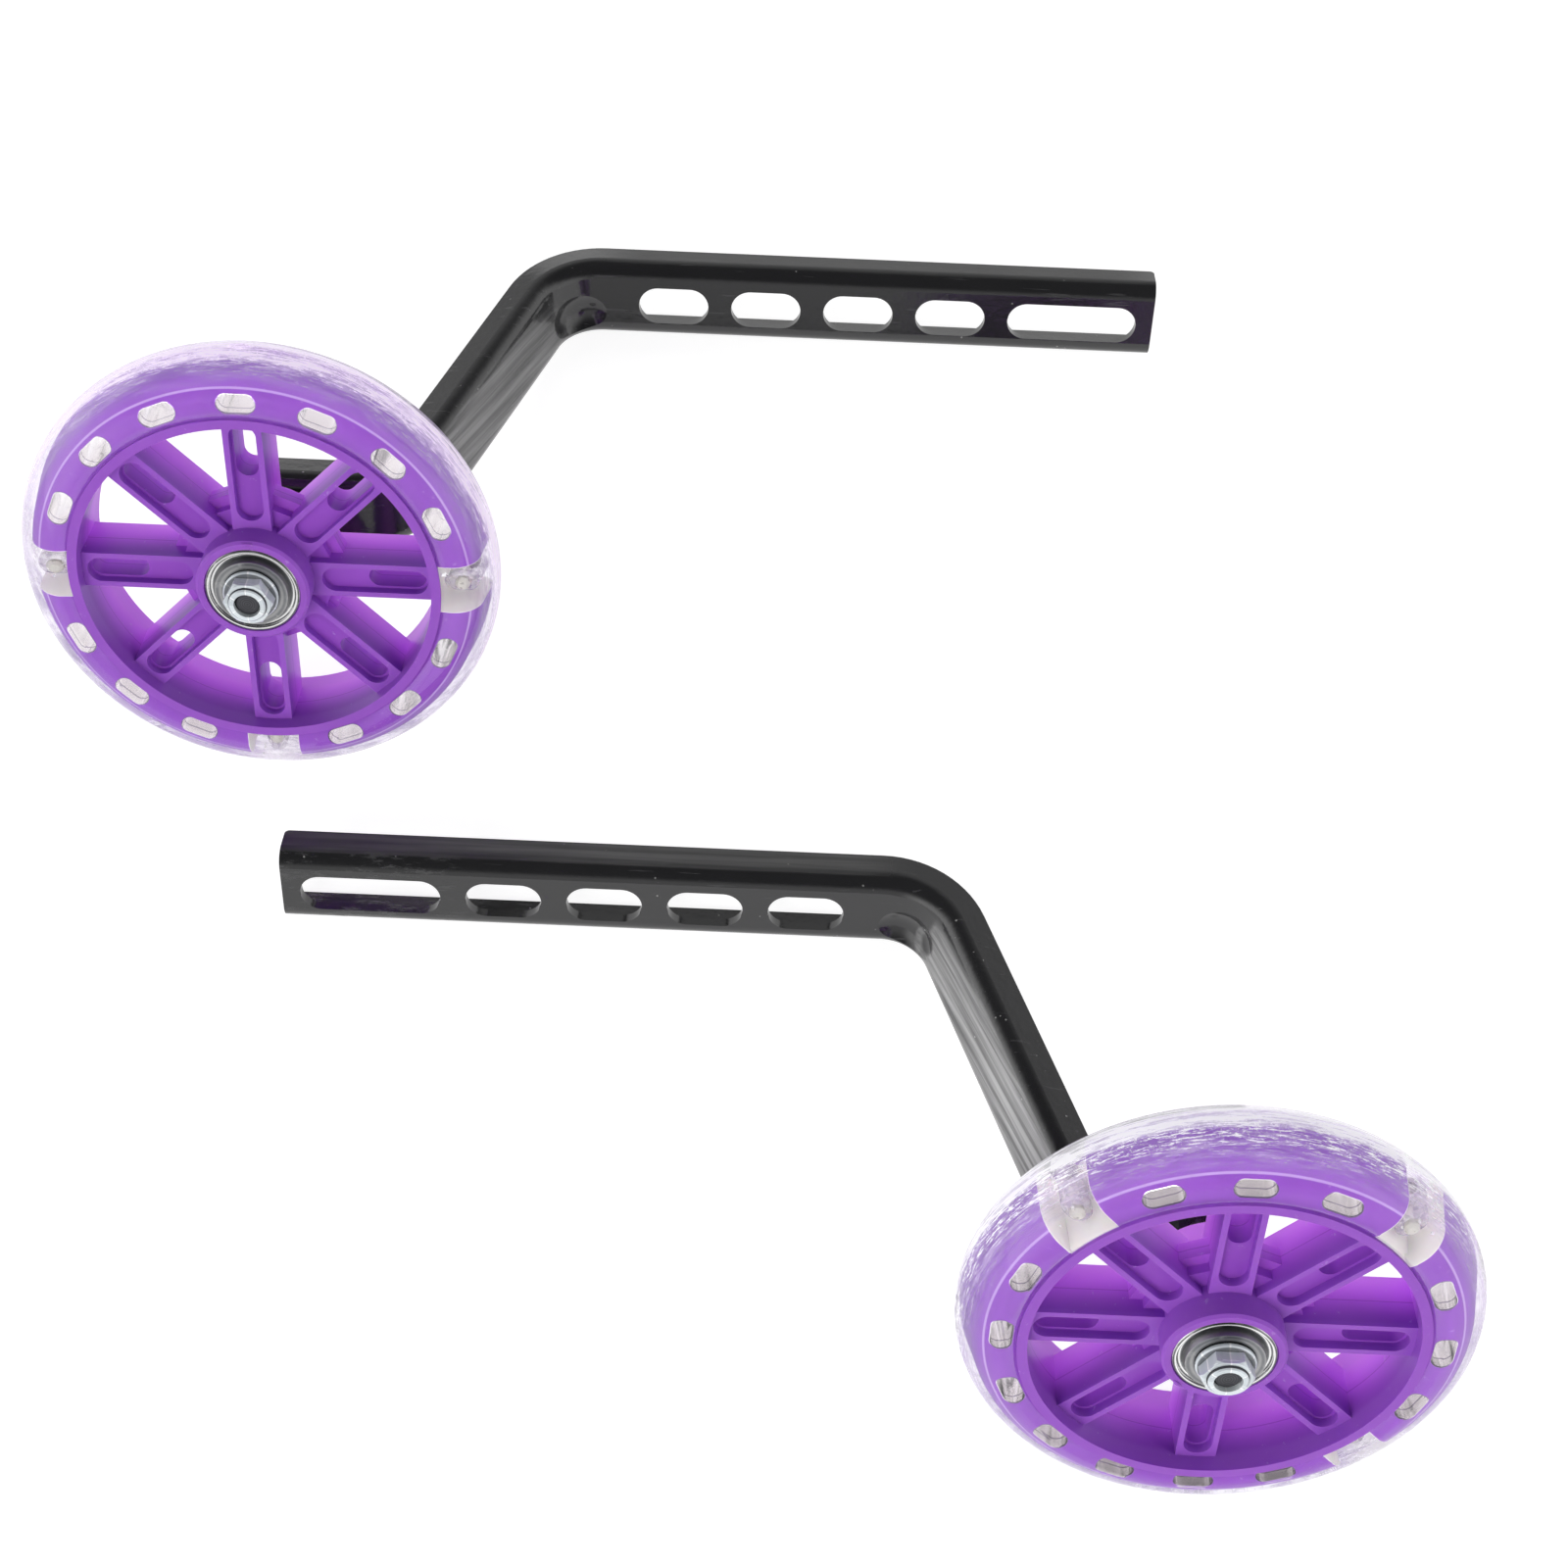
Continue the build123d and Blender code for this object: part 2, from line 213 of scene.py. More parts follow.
# %% World
world = bpy.data.worlds.new("studio")
bpy.context.scene.world = world
world.use_nodes = True
world.node_tree.nodes.clear()
start = Wire(world.node_tree)
direction = start.node("ShaderNodeTexCoord", output="Generated")
split = "ShaderNodeSeparateXYZ"
sideways, depth, height = (start.node(split, None, {0: direction}, axis) for axis in "XYZ")
left_wall, right_wall = sideways.fall(-0.8, -0.3), sideways.rise(0.3, 0.8)
back_wall = depth.rise(0.2, 0.9)
horizon = 0.8 + left_wall * 1.6 + right_wall * 0.8 - back_wall * 0.2
sky = height.fall(0.25, 0.75) * horizon + 0.1
rays = "ShaderNodeLightPath"
seen = start.node(rays, output="Is Camera Ray") + start.node(rays, output="Is Transmission Ray")
glow = start.node("ShaderNodeBackground", None, {"Strength": sky})
white = start.node("ShaderNodeBackground", None, {"Color": colour(1, 1, 1), "Strength": 1.0})
both = start.node("ShaderNodeMixShader", None, {0: seen.rise(0.2, 0.8), 1: glow, 2: white})
out = world.node_tree.nodes.new("ShaderNodeOutputWorld")
world.node_tree.links.new(both.socket, out.inputs["Surface"])
print("world:", len(world.node_tree.nodes), "nodes")

# %% [markdown]
# Three large soft lamps lift the light to a plain level. They are hidden from mirrors, so that the
# paint keeps its clean black stripe and shows only the horizon.

# %% Lamps
def soft_lamp(name, place, size, watts):
    lamp = bpy.data.lights.new(name, "AREA")
    lamp.shape, lamp.size, lamp.energy = "DISK", size, watts
    holder = bpy.data.objects.new(name, lamp)
    bpy.context.collection.objects.link(holder)
    holder.location = place
    holder.rotation_euler = (-Vector(place)).to_track_quat("-Z", "Y").to_euler()
    holder.visible_glossy = False
    return holder


lamps = [
    soft_lamp("lamp_front", (-0.5, -1.0, 0.9), size=0.9, watts=9.0),
    soft_lamp("lamp_side", (1.0, -0.3, 0.8), size=0.8, watts=3.0),
    soft_lamp("lamp_back", (-0.2, 1.0, 0.9), size=0.9, watts=5.0),
]
print("lamps:", [lamp.name for lamp in lamps])

# %% [markdown]
# A finish starts from one Principled shader, and all of them share a few helpers. Two give the place of
# a point: on the table in metres, and in a wheel's own coordinates, through a Mapping node. The others
# take a place apart, stretch it, or make noise from it, and turn a height into a bump.

# %% Helpers for finishes
def new_finish(name):
    finish = bpy.data.materials.new(name)
    finish.use_nodes = True
    return finish, Wire(finish.node_tree), finish.node_tree.nodes["Principled BSDF"]


def feed(finish, shader, links=None, numbers=None):
    """Links wires to some inputs of a shader and sets plain numbers on others."""
    for name, wire in (links or {}).items():
        finish.node_tree.links.new(wire.socket, shader.inputs[name])
    for name, value in (numbers or {}).items():
        shader.inputs[name].default_value = value


def on_table(start):
    return start.node("ShaderNodeTexCoord", output="Object")


def on_wheel(start, side):
    turn = (wheel_tilt[side], 0.0, 0.0)
    setting = {"Vector": on_table(start), "Location": wheel_centre[side], "Rotation": turn}
    return start.node("ShaderNodeMapping", {"vector_type": "TEXTURE"}, setting)


def parts_of(place):
    return [place.node("ShaderNodeSeparateXYZ", None, {0: place}, axis) for axis in "XYZ"]


def noise(place, scale, detail=2.0, roughness=0.5):
    setting = {"Vector": place, "Scale": scale, "Detail": detail, "Roughness": roughness}
    return place.node("ShaderNodeTexNoise", {"noise_dimensions": "3D"}, setting)


def stretched(place, x, y, z):
    return place.node("ShaderNodeMapping", None, {"Vector": place, "Scale": (x, y, z)})


def bumped(height, strength, distance):
    setting = {"Height": height, "Strength": strength, "Distance": distance}
    return height.node("ShaderNodeBump", None, setting)


print("helpers ready")

# %% [markdown]
# In the photograph the flat side of each arm and the flange along each bar are greyer than a black
# mirror of this studio would be. A lamp for each of them would light everything else too, so these four
# faces get a streaked grey sheen of their own in the paint. Each is found by a mask in the coordinates
# of the face: along it, across it and above it. A Mapping node gives these from one spot on the face and
# two directions.

# %% Masks for the flat faces of the brackets
bracket_faces = {
    "left_arm": {
        "spot": (0.0628, -0.0623, 0.025), "along": (0.386, -0.834, 0.393),
        "facing": (-0.901, -0.251, 0.354), "reach": 0.04, "grey": 0.46, "dullness": 0.0,
    },
    "right_arm": {
        "spot": (-0.064, 0.0956, 0.0252), "along": (-0.386, -0.834, 0.393),
        "facing": (0.901, -0.251, 0.354), "reach": 0.04, "grey": 0.24, "dullness": 0.0,
    },
    "left_flange": {
        "spot": (-0.0328, -0.0122, 0.0175), "along": (1.0, 0.0, 0.0),
        "facing": (0.0, 0.541, 0.841), "reach": 0.07, "grey": 0.08, "dullness": 0.4,
    },
    "right_flange": {
        "spot": (0.0328, 0.1498, 0.0175), "along": (1.0, 0.0, 0.0),
        "facing": (0.0, 0.541, 0.841), "reach": 0.07, "grey": 0.02, "dullness": 0.3,
    },
}
face_blend = 10.0 * mm


def flat_face(place, face):
    """A mask for one flat face of a bracket, and streaks of painted sheen along it."""
    along, facing = Vector(face["along"]), Vector(face["facing"])
    turn = Matrix((along, facing.cross(along), facing)).transposed().to_euler()
    setting = {"Vector": place, "Location": face["spot"], "Rotation": turn}
    local = place.node("ShaderNodeMapping", {"vector_type": "TEXTURE"}, setting)
    length, width, height = parts_of(local)
    inside = abs(length).fall(face["reach"] - face_blend, face["reach"] + face_blend)
    inside = inside * abs(width).fall(6.0 * mm, 12.0 * mm)
    flat = inside * abs(height).fall(0.2 * mm, 0.6 * mm)
    return flat, noise(stretched(local, 14.0, 420.0, 420.0), 1.0, 3.0, 0.6)


print("faces with a sheen:", sorted(bracket_faces))

# %% [markdown]
# The brackets are dipped in gloss black paint. Close up it is not smooth: the surface has the small
# dimples called orange peel, pale specks of dust lie in it, hair scratches cross it, and near the end
# of one bar it is rubbed dull. All of this is noise at different sizes, so no picture is needed. On the
# four flat faces the masks above lay a painted grey sheen over it.

# %% Black paint
def black_paint():
    finish, start, shader = new_finish("black_paint")
    place = on_table(start)
    x, y, _ = parts_of(place)
    peel = noise(place, 700.0, 2.0)
    wave = noise(place, 90.0, 2.0)
    cells = start.node("ShaderNodeTexVoronoi", None, {"Vector": place, "Scale": 420.0}, "Distance")
    rare = noise(place, 160.0, 1.0).rise(0.62, 0.66)
    specks = cells.fall(0.06, 0.14) * rare
    hairs = noise(stretched(place, 60.0, 900.0, 900.0), 1.0, 3.0).rise(0.64, 0.7)
    rubbed_end = x.fall(-75.0 * mm, -50.0 * mm) * y.fall(0.0, 20.0 * mm)
    rubbed_end = rubbed_end * y.rise(-80.0 * mm, -60.0 * mm)
    rubbed = noise(stretched(place, 120.0, 500.0, 500.0), 1.0, 5.0, 0.7).rise(0.5, 0.66) * rubbed_end
    dull = noise(place, 40.0, 4.0, 0.6)
    tone = dull.between(colour(0.009, 0.009, 0.010), colour(0.016, 0.016, 0.017))
    tone = (hairs * 0.5).between(tone, colour(0.06, 0.06, 0.062))
    tone = (rubbed * 0.5).between(tone, colour(0.08, 0.08, 0.082))
    tone = (specks * 0.6).between(tone, colour(0.4, 0.4, 0.39))
    gloss = 0.1 + dull * 0.08 + hairs * 0.1 + rubbed * 0.3 + specks * 0.4
    # Painted sheen: the four flat faces are made greyer, standing for studio light on them.
    for face in bracket_faces.values():
        flat, streaks = flat_face(place, face)
        grey = colour(face["grey"], face["grey"], face["grey"])
        tone = (flat * streaks.rise(0.25, 0.75)).between(tone, grey)
        gloss = gloss + flat * face["dullness"]
    relief = peel * 0.35 + wave + rubbed * 0.3
    feed(
        finish, shader,
        {"Base Color": tone, "Roughness": gloss, "Normal": bumped(relief, 0.16, 0.6 * mm)},
        {"Specular IOR Level": 0.7},
    )
    return finish


paint = black_paint()
print("paint:", len(paint.node_tree.nodes), "nodes")

# %% [markdown]
# The clear rubber fills the oval holes in the band of the wheel's core without sticking to their walls,
# and the thin air gap makes these walls mirrors. The walls are part of the core's mesh, so they are
# found by a mask and not by a piece of their own: the angle round the wheel is folded into one
# sixteenth, and there an oval is a stadium shape whose outline is a simple distance. The three windows
# for the lights are found in the same way, folded into quarters that start at the gate, where the
# fourth is left out.

# %% Masks for the ovals and windows of the band
oval_radius, oval_straight, oval_round = 45.7 * mm, 2.2 * mm, 2.1 * mm
rim_radius, window_half = 42.5 * mm, 6.0 * mm


def folded(angle, count, turn=0.0):
    """The angle from the nearest of so many evenly spaced places round the wheel."""
    return (angle - turn).math("WRAP", pi / count, -pi / count)


def gap_walls(x, y, z, radius, side):
    """Masks for the walls of the ovals and for the walls and floors of the windows."""
    angle = y.math("ARCTAN2", x)
    turn = folded(angle, 16)
    along = abs(radius * turn.math("SINE")) - oval_straight
    out = radius * turn.math("COSINE") - oval_radius
    gap = along.math("MAXIMUM", 0.0)
    ovals = abs((gap * gap + out * out) ** 0.5 - oval_round).fall(0.08 * mm, 0.2 * mm)
    sideways = abs(radius * folded(angle, 4, gate_angle[side]).math("SINE"))
    sides = abs(sideways - window_half).fall(0.06 * mm, 0.16 * mm)
    sides = sides * radius.rise(rim_radius, rim_radius + 0.2 * mm)
    floors = sideways.fall(window_half, window_half + 0.2 * mm)
    floors = floors * abs(radius - rim_radius).fall(0.1 * mm, 0.2 * mm)
    off_gate = abs(folded(angle, 1, gate_angle[side])).rise(0.5, 0.55)
    windows = sides.math("MAXIMUM", floors * abs(z).fall(9.5 * mm, 9.7 * mm)) * off_gate
    return ovals, windows


print("ovals", round(2 * (oval_straight + oval_round), 4), "m long, windows", 2 * window_half, "m wide")

# %% [markdown]
# The wheel's core is moulded in violet plastic that lets light through. The deep walls between the
# spokes have the white ground behind them, so they are painted brighter and redder than the front, and
# the far
# half of the core paler and pinker: this is painted light that stands for what comes through and lifts
# the shade between the spokes, and a weak painted glow of their own adds to it. The raised lips are a
# little paler. The two halves of the mould meet at half depth and leave a fine line there, and the flow
# of the plastic leaves faint clouds. The masks come from the height above the middle of the wheel and
# from the radius. The ovals get a dark line at the mouth and a crease below it, and the windows are pale
# cream.

# %% Violet plastic
rim_inside, band_edge, band_half, spoke_half = 40.5 * mm, 49.0 * mm, 9.0 * mm, 6.8 * mm


def violet_plastic(side):
    finish, start, shader = new_finish(side + "_violet_plastic")
    place = on_wheel(start, side)
    x, y, z = parts_of(place)
    clouds = noise(place, 70.0, 3.0, 0.6)
    grain = noise(place, 1400.0, 2.0)
    nicks = noise(place, 520.0, 3.0, 0.7).rise(0.66, 0.72)
    seam = abs(z).fall(0.06 * mm, 0.22 * mm)
    raised = abs(z).rise(5.0 * mm, spoke_half)
    radius = (x * x + y * y) ** 0.5
    inside_rim = radius.fall(rim_inside, rim_inside + 0.7 * mm)
    # Painted light: the deep walls between the spokes and the far half are made brighter and pinker.
    deep = z.fall(-4.0 * mm, spoke_half) * inside_rim
    tone = clouds.between(colour(0.235, 0.055, 0.46), colour(0.295, 0.08, 0.54))
    tone = (deep * 0.9).between(tone, colour(0.57, 0.14, 0.82))
    painted_far_light = z.fall(-8.0 * mm, -0.5 * mm) * inside_rim
    tone = (painted_far_light * 0.5).between(tone, colour(0.72, 0.32, 0.85))
    lip = raised * radius.fall(rim_radius, rim_radius + 0.1 * mm)
    tone = (lip * 0.22).between(tone, colour(0.45, 0.19, 0.7))
    tone = (nicks * 0.35).between(tone, colour(0.55, 0.36, 0.72))
    tone = (seam * 0.5).between(tone, colour(0.16, 0.02, 0.36))
    crown = radius.rise(band_edge - 0.3 * mm, band_edge + 0.3 * mm)
    tone = (crown * 0.12).between(tone, colour(0.56, 0.38, 0.8))
    edge_line = abs(radius - band_edge).fall(0.1 * mm, 0.3 * mm)
    tone = (edge_line * 0.5).between(tone, colour(0.75, 0.6, 0.9))
    ovals, windows = gap_walls(x, y, z, radius, side)
    mouth = abs(z).rise(band_half - 0.5 * mm, band_half - 0.3 * mm)
    crease = abs(abs(z) - 6.9 * mm + clouds * mm).fall(0.08 * mm, 0.25 * mm)
    lines = (mouth * 0.9).math("MAXIMUM", crease * 0.6)
    tone = ovals.between(tone, lines.between(colour(0.97, 0.95, 0.95), colour(0.18, 0.1, 0.28)))
    tone = windows.between(tone, clouds.between(colour(0.97, 0.94, 0.89), colour(0.9, 0.87, 0.86)))
    # A painted glow in the deep walls, standing for light coming through the plastic.
    through = (deep * (0.6 + clouds * 0.8)).between(colour(0, 0, 0), colour(0.33, 0.075, 0.48))
    gloss = (0.36 + clouds * 0.12 + nicks * 0.2) * (1 - ovals * 0.5)
    relief = grain * 0.2 + clouds + seam * 1.5
    feed(
        finish, shader,
        {
            "Base Color": tone, "Roughness": gloss, "Metallic": ovals, "Emission Color": through,
            "Normal": bumped(relief, 0.2, 0.2 * mm),
        },
        {
            "Specular IOR Level": 0.22, "Emission Strength": 0.22, "Subsurface Weight": 0.25,
            "Subsurface Radius": (0.6, 0.25, 1.0), "Subsurface Scale": 3.0 * mm,
        },
    )
    return finish


violet = {side: violet_plastic(side) for side in axle}
print("violet:", len(violet["right"].node_tree.nodes), "nodes each")

# %% [markdown]
# The lock nut is small and bright, and what makes it read as a nut is that its six flats differ. In this
# soft light they would look alike, so the light is painted: each flat gets a painted reflection of its
# own from white noise on the number of its sixth of a turn, with painted highlights on the corners
# between them and painted shade in the grooves at the foot and round the collar.

# %% Painted light on the lock nut
nut_foot, nut_shoulder, nut_collar = 15.4 * mm, 18.5 * mm, 4.3 * mm


def nut_painted_light(tone, x, y, z, radius):
    """Adds painted reflections on the flats, painted highlights on the corners and painted shade in the
    grooves of the lock nut to a tone.
    """
    sixth = y.math("ARCTAN2", x) * (3 / pi) + 0.5
    flat = x.node("ShaderNodeTexWhiteNoise", {"noise_dimensions": "1D"}, {"W": sixth.math("FLOOR")})
    corner_highlight = abs(sixth.math("FRACT") - 0.5).rise(0.45, 0.49)
    foot_shade = abs(z - nut_foot).fall(0.08 * mm, 0.25 * mm) * 0.8
    collar_shade = abs(radius - nut_collar).fall(0.06 * mm, 0.18 * mm)
    collar_shade = collar_shade * z.rise(nut_shoulder - 0.2 * mm, nut_shoulder)
    tone = (flat.rise(0.3, 0.7) * 0.4).between(tone, colour(0.42, 0.46, 0.5))
    tone = corner_highlight.between(tone, colour(0.97, 0.98, 0.99))
    return foot_shade.math("MAXIMUM", collar_shade).between(tone, colour(0.05, 0.05, 0.06))


print("nut from", nut_foot, "to", nut_shoulder, "m along the axle")

# %% [markdown]
# The fasteners are zinc plated steel: silvery with a faint blue and straw cast, and fine marks from
# the tool. The bearing rings are ground while they turn, so their lines run in circles round the axle,
# the shield between them is a stamped ring of duller steel, and the bolt is dark. One function makes
# them all from the radius in wheel coordinates, and a table gives each steel its values.

# %% Steels
race_edge = 10.9 * mm


def turned_steel(side, name, dark, light, gloss, line_width, line_depth, faceted=False):
    finish, start, shader = new_finish(side + "_" + name)
    place = on_wheel(start, side)
    x, y, z = parts_of(place)
    radius = (x * x + y * y) ** 0.5
    rings = ((radius - race_edge) * (2 * pi / line_width)).math("COSINE")
    stains = noise(place, 300.0, 4.0, 0.6)
    scratches = noise(stretched(place, 300.0, 300.0, 2500.0), 1.0, 3.0).rise(0.58, 0.7)
    tone = (stains * 0.6 + rings * line_depth * 0.5 + 0.2).between(dark, light)
    tone = (scratches * 0.3).between(tone, colour(0.9, 0.9, 0.9))
    # The lock nut gets its painted reflections, highlights and shade.
    if faceted:
        tone = nut_painted_light(tone, x, y, z, radius)
    shine = gloss + stains * 0.16 + scratches * 0.1
    relief = rings * line_depth + scratches * 0.3 + stains * 0.4
    feed(
        finish, shader,
        {"Base Color": tone, "Roughness": shine, "Normal": bumped(relief, 0.15, 0.2 * mm)},
        {"Metallic": 0.2 if faceted else 1.0},
    )
    return finish


steel_kinds = {
    "zinc": {
        "name": "zinc_steel", "dark": colour(0.66, 0.69, 0.73), "light": colour(0.84, 0.84, 0.82),
        "gloss": 0.2, "line_width": 0.6 * mm, "line_depth": 0.2,
    },
    "nut": {
        "name": "nut_steel", "dark": colour(0.58, 0.66, 0.71), "light": colour(0.86, 0.9, 0.91),
        "gloss": 0.14, "line_width": 0.6 * mm, "line_depth": 0.2, "faceted": True,
    },
    "ground": {
        "name": "ground_steel", "dark": colour(0.1, 0.1, 0.11), "light": colour(0.86, 0.86, 0.86),
        "gloss": 0.12, "line_width": 0.8 * mm, "line_depth": 1.1,
    },
    "stamped": {
        "name": "stamped_steel", "dark": colour(0.16, 0.165, 0.18), "light": colour(0.42, 0.42, 0.42),
        "gloss": 0.3, "line_width": 1.3 * mm, "line_depth": 0.6,
    },
    "dark": {
        "name": "dark_bolt_steel", "dark": colour(0.05, 0.05, 0.058), "light": colour(0.11, 0.11, 0.12),
        "gloss": 0.35, "line_width": 0.5 * mm, "line_depth": 0.6,
    },
}
steels = {}
for side in axle:
    steels[side] = {kind: turned_steel(side, **look) for kind, look in steel_kinds.items()}
print("steels:", sorted(steels["right"]))

# %% [markdown]
# In three windows of each wheel sits a small sealed light: a grey capsule full of bubbles with a pale
# lamp at each end. It is never seen directly but only through the clear rubber, so its finish needs
# soft shapes more than fine ones.

# %% Light capsules and lamps
def capsule_plastic(side):
    finish, start, shader = new_finish(side + "_capsule_plastic")
    place = on_wheel(start, side)
    cells = start.node(
        "ShaderNodeTexVoronoi", {"feature": "SMOOTH_F1"}, {"Vector": place, "Scale": 750.0}, "Distance")
    clouds = noise(place, 400.0, 3.0)
    tone = cells.rise(0.2, 0.7).between(colour(0.66, 0.6, 0.7), colour(0.3, 0.24, 0.38))
    tone = (clouds.rise(0.5, 0.7) * 0.6).between(tone, colour(0.8, 0.78, 0.78))
    body = 0.3 + cells.rise(0.3, 0.8) * 0.35
    feed(
        finish, shader,
        {
            "Base Color": tone, "Roughness": 0.25 + clouds * 0.25, "Alpha": body,
            "Normal": bumped(cells, 0.5, 0.4 * mm),
        },
        {"Specular IOR Level": 0.3},
    )
    return finish


def lamp_plastic(side):
    finish, start, shader = new_finish(side + "_lamp_plastic")
    place = on_wheel(start, side)
    clouds = noise(place, 900.0, 2.0)
    tone = clouds.between(colour(0.6, 0.58, 0.52), colour(0.8, 0.79, 0.74))
    feed(
        finish, shader,
        {"Base Color": tone, "Roughness": 0.2 + clouds * 0.2, "Normal": bumped(clouds, 0.3, 0.2 * mm)},
        {"Transmission Weight": 0.3},
    )
    return finish


capsule = {side: capsule_plastic(side) for side in axle}
lamp = {side: lamp_plastic(side) for side in axle}
print("lights:", [finish.name for finish in capsule.values()])

# %% [markdown]
# Now every solid gets its finish by the last words of its name. The tyres are left for the next step,
# because clear rubber that touches plastic face to face would flicker.

# %% Finishes on the solids
def dress(side):
    steel = steels[side]
    finish_of = {
        "bracket": paint,
        "wheel_core": violet[side],
        "light_capsules": capsule[side],
        "light_lamps": lamp[side],
        "axle_bolt": steel["dark"],
        "jam_nut": steel["zinc"],
        "spacing_washer": steel["zinc"],
        "axle_sleeve": steel["zinc"],
        "lock_nut": steel["nut"],
        "inner_races": steel["ground"],
        "outer_races": steel["ground"],
        "bearing_shields": steel["stamped"],
        "bearing_balls": steel["ground"],
        "ball_cages": steel["stamped"],
    }
    for name, finish in finish_of.items():
        mesh = frame["nodes"][side + "_" + name].data
        mesh.materials.clear()
        mesh.materials.append(finish)
    return len(finish_of)


print("dressed:", {side: dress(side) for side in axle})

# %% [markdown]
# The tyre is clear rubber cast over the band. A clear piece has to be closed, and where it meets the
# plastic it must not share a face with it, so this ring has the same outside as the solid tyre and its
# inner wall lies half a millimetre inside the violet rim, out of sight. A Geometry Nodes tree turns a
# profile round the axle: a grid is bent into a ring, and each of its points reads the profile at its
# own number.

# %% A tree that turns a profile round the axle
def turning_tree():
    tree = bpy.data.node_groups.new("turned_ring", "GeometryNodeTree")
    sockets = (
        ("Profile", "INPUT", "NodeSocketGeometry"), ("Profile points", "INPUT", "NodeSocketInt"),
        ("Segments", "INPUT", "NodeSocketInt"), ("Finish", "INPUT", "NodeSocketMaterial"),
        ("Ring", "OUTPUT", "NodeSocketGeometry"),
    )
    for name, way, kind in sockets:
        tree.interface.new_socket(name, in_out=way, socket_type=kind)
    given = tree.nodes.new("NodeGroupInput")
    profile, count, segments, finish = (Wire(tree, given.outputs[n]) for n in range(4))
    start = Wire(tree)
    size = {"Size X": 1.0, "Size Y": 1.0, "Vertices X": segments + 1.0, "Vertices Y": count + 1.0}
    grid = start.node("GeometryNodeMeshGrid", None, size)
    here = start.node("GeometryNodeInputPosition")
    x, y = (start.node("ShaderNodeSeparateXYZ", None, {0: here}, axis) for axis in "XY")
    turn = (x + 0.5) * (2 * pi)
    number = ((y + 0.5) * count).math("ROUND").math("MODULO", count)
    spot = start.node(
        "GeometryNodeSampleIndex", {"data_type": "FLOAT_VECTOR"},
        {"Geometry": profile, "Value": here, "Index": number})
    radius, height = (start.node("ShaderNodeSeparateXYZ", None, {0: spot}, axis) for axis in "XZ")
    across, along = radius * turn.math("COSINE"), radius * turn.math("SINE")
    there = start.node("ShaderNodeCombineXYZ", None, {"X": across, "Y": along, "Z": height})
    bent = start.node("GeometryNodeSetPosition", None, {"Geometry": grid, "Position": there})
    closed = start.node("GeometryNodeMergeByDistance", None, {"Geometry": bent, "Distance": 1e-6})
    smooth = start.node("GeometryNodeSetShadeSmooth", None, {"Geometry": closed})
    single = start.node("GeometryNodeRealizeInstances", None, {"Geometry": smooth})
    done = start.node("GeometryNodeSetMaterial", None, {"Geometry": single, "Material": finish})
    tree.links.new(done.socket, tree.nodes.new("NodeGroupOutput").inputs[0])
    return tree


turned_ring = turning_tree()
print("tree:", turned_ring.name, len(turned_ring.nodes), "nodes")

# %% [markdown]
# A modifier runs a tree on a base mesh. The piece that is kept should be a plain mesh that no tree can
# change any more, so the result is copied out, the modifier is taken off, and the faces are turned to
# the outside.

# %% From a tree to a plain mesh
def face_outside(mesh):
    """Turns the faces of a closed mesh to the outside."""
    work = bmesh.new()
    work.from_mesh(mesh)
    bmesh.ops.recalc_face_normals(work, faces=work.faces)
    work.to_mesh(mesh)
    work.free()


def grown(name, tree, base, sizes):
    """Runs a tree on a base mesh and leaves the result as a plain mesh with no modifier."""
    piece = bpy.data.objects.new(name, base)
    bpy.context.collection.objects.link(piece)
    modifier = piece.modifiers.new("grow", "NODES")
    modifier.node_group = tree
    sockets = {s.name: s.identifier for s in tree.interface.items_tree if s.in_out == "INPUT"}
    for key, value in sizes.items():
        modifier[sockets[key]] = value
    result = bpy.data.meshes.new_from_object(piece.evaluated_get(bpy.context.evaluated_depsgraph_get()))
    piece.modifiers.clear()
    piece.data = result
    result.name = name
    face_outside(result)
    return piece


print("ready:", grown.__name__)

# %% [markdown]
# Clear rubber is nearly glass: it passes light and bends it. Here it bends light less than real rubber
# does, because with the real value the band looks swollen to the edge of the tyre, and in the
# photograph it doesn't. A clear coat gives back the gloss that this takes away.
#
# On the tread, use has left scuffs and strands that run round the wheel, darker in the lower half, a
# worn film that has its place, strength and tone on each tyre, and the fine line where the mould closed.
# They scatter light instead of passing it, so they are a second, milky shader laid over the clear one by
# a mask, and a weak painted glow in that shader stands for light scattered through the rubber. The mask
# is noise in rolled-out coordinates: the angle, the place across the tread and the radius. The angle
# starts again somewhere on the wheel, and this seam is put on a window, where it doesn't show.

# %% Clear rubber
scuff_start = {"right": 0.0, "left": radians(-45)}
worn_film = {"right": 0.6, "left": 0.68}
film_middle = {"right": 1.0 * mm, "left": -3.0 * mm}
film_tone = {"right": colour(0.92, 0.81, 0.99), "left": colour(0.93, 0.92, 0.96)}
crown_middle, mould_join = 1.8 * mm, -1.2 * mm


def rolled_out(start, angle, z, radius, along, across, inward):
    """Coordinates for marks that run round the wheel, with a scale for each direction."""
    scaled = {"X": angle * along, "Y": z * across, "Z": radius * inward}
    return start.node("ShaderNodeCombineXYZ", None, scaled)


